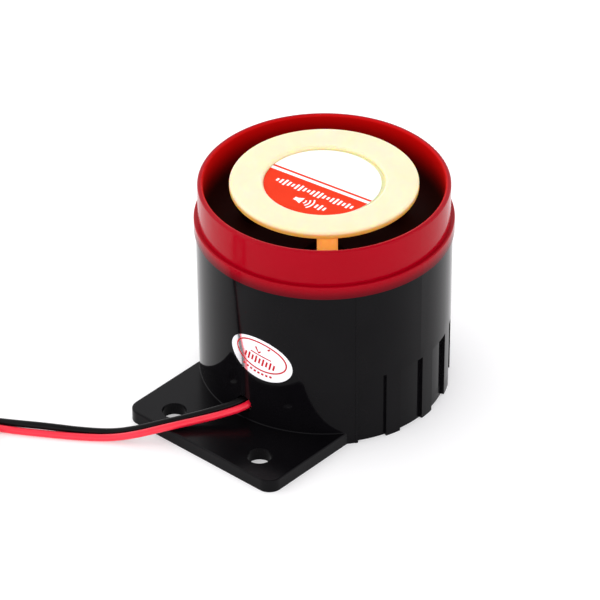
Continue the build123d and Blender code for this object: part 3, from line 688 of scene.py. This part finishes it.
def add_top_label():
    """Printed label in the disc's recess: white above, a red rule, and a red field with white marks."""
    low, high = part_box("disc_label")
    centre = (low + high) / 2
    radius = (high.x - low.x) / 2 / mm                 # in millimetres, as u and v are
    paper_top = high.z - 2 * label_print_lift

    def place(u, v, lift):
        across = u * mm * cos(label_turn) - v * mm * sin(label_turn)
        along = u * mm * sin(label_turn) + v * mm * cos(label_turn)
        return (centre.x + across, centre.y + along, lift)

    build = Build(place)
    paper_edge = arc((0, 0), radius, 0, 360, circle_steps)[:-1]
    paper_in = arc((0, 0), paper_eye, 0, 360, circle_steps)[:-1]
    build.band(paper_edge, paper_in, low.z, paper_top, 0, closed=True)
    ink_top = paper_top + label_print_lift
    ink_radius = radius - ink_inset

    def chord(v):
        return (ink_radius ** 2 - v ** 2) ** 0.5

    def level_line(v):
        half = chord(v)
        return [(-half + 2 * half * step / columns, v) for step in range(columns + 1)]

    build.band(level_line(rule_high), level_line(rule_low), paper_top, ink_top, 1)
    half = chord(field_top)
    top_line = level_line(field_top)
    start = degrees(atan2(field_top, -half)) % 360
    end = degrees(atan2(field_top, half)) % 360
    bottom_line = arc((0, 0), ink_radius, start, end, columns)
    build.band(top_line, bottom_line, paper_top, ink_top, 1)

    mark_top = ink_top + label_print_lift
    bar_row(build, level_bars, level_start, level_pitch, level_middle, bar_width, ink_top, mark_top, 0)
    over, under = [
        [(u + speaker_place[0], side * v + speaker_place[1]) for u, v in speaker_half] for side in (1, -1)
    ]
    build.band(over, under, ink_top, mark_top, 0)
    for reach in wave_reaches:
        wave = arc(speaker_place, reach, -wave_half_angle, wave_half_angle, wave_steps)
        build.stroke(wave, wave_width, ink_top, mark_top, 0)
    bar_row(build, side_bars, side_start, level_pitch, side_middle, bar_width, ink_top, mark_top, 0)
    label = build.make("disc_label_print", [label_paper, label_ink])
    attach(label, "casing")
    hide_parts("disc_label")


# ---- oval label -----------------------------------------------------------------------------------------
def add_oval_label():
    """Foil oval on the drum, with a printed ring, a tick and rows of small marks."""
    corners = [Vector(v.co) for v in frame["nodes"]["oval_label"].data.vertices]
    angles = [atan2(p.x, -p.y) for p in corners]
    heights = [p.z for p in corners]
    middle_angle = (min(angles) + max(angles)) / 2
    middle_height = (min(heights) + max(heights)) / 2
    outer = max(hypot(p.x, p.y) - (p.z - middle_height) * drum_draft for p in corners)
    inner = min(hypot(p.x, p.y) - (p.z - middle_height) * drum_draft for p in corners)
    foil_top = outer - 2 * oval_print_lift

    def place(a, b, lift):
        across = (a * cos(oval_tilt) - b * sin(oval_tilt)) * mm
        up = (a * sin(oval_tilt) + b * cos(oval_tilt)) * mm
        radius = lift + up * drum_draft
        angle = middle_angle + across / outer
        return (radius * sin(angle), -radius * cos(angle), middle_height + up)

    def oval(share_across, share_up):
        points = []
        for step in range(circle_steps):
            angle = 2 * pi * step / circle_steps
            a = oval_half_length * share_across * cos(angle)
            b = oval_half_height * share_up * sin(angle)
            points.append((a, b))
        return points

    build = Build(place)
    shares = [step / oval_rings for step in range(1, oval_rings + 1)]
    under = [(oval(share, share), inner) for share in shares]
    over = [(oval(share, share), foil_top) for share in reversed(shares)]
    build.lathe(under + over, 0)
    ink = outer
    printed_ring = [(a, b + ring_rise) for a, b in oval(*ring_shares)]
    build.stroke(printed_ring, ring_width, foil_top, ink, 1, closed=True)
    build.stroke(tick, tick_width, foil_top, ink, 1)
    rule = [(-rule_half + 2 * rule_half * step / rule_steps, rule_rise) for step in range(rule_steps + 1)]
    build.stroke(rule, rule_width, foil_top, ink, 1)
    heights = [bar_heights[index % 2] for index in range(bar_count)]
    bar_row(build, heights, bar_start, bar_pitch, bar_middle, oval_bar_width, foil_top, ink, 1)
    for index in range(dash_count):
        a = dash_start + dash_pitch * index
        b = dash_low + dash_bend * (a * a)
        build.stroke([(a - dash_half, b), (a + dash_half, b)], dash_width, foil_top, ink, 1)
    label = build.make("oval_label_print", [foil, foil_ink])
    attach(label, "casing")
    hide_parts("oval_label")


shade_bowl()
paint_cream_light()
dull_foot()
dress_cad_nodes()
add_camera()
add_stage()
add_leads()
add_top_label()
add_oval_label()
